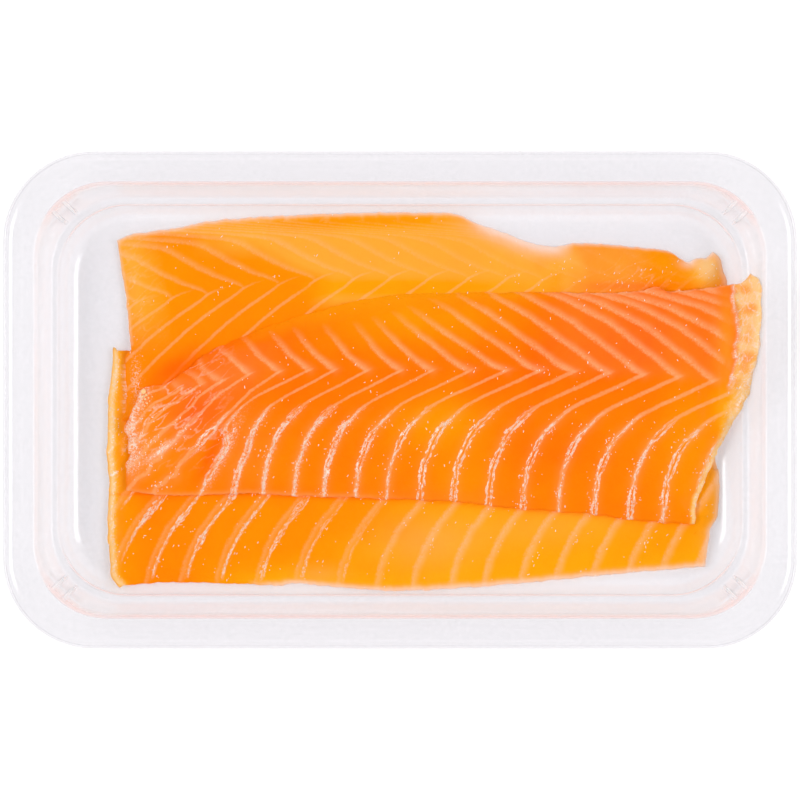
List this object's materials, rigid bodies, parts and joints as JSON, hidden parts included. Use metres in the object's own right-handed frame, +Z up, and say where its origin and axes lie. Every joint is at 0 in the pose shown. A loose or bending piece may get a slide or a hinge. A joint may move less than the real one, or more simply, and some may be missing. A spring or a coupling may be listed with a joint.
{
  "type": "smoked salmon slices in a clear tray",
  "caption": "Overlapping smoked salmon slices lying shingled in a shallow clear plastic tray with a flanged rim, open at the top.",
  "frame": {"origin": "middle of the tray's underside, on the surface that it stands on", "axes": "+X along the tray's long side to the end where the top slice leans up the wall, +Y to the long side with the back slice, +Z up out of the tray"},
  "size_m": [0.215, 0.1346, 0.02],
  "materials": {
    "clear_plastic": "clear thermoformed sheet, smooth",
    "smoked_salmon": "moist orange flesh with pale muscle lines"
  },
  "bodies": {
    "root": {"tray": "clear_plastic", "slice_front": "smoked_salmon", "slice_back": "smoked_salmon", "slice_top": "smoked_salmon"}
  },
  "joints": []
}
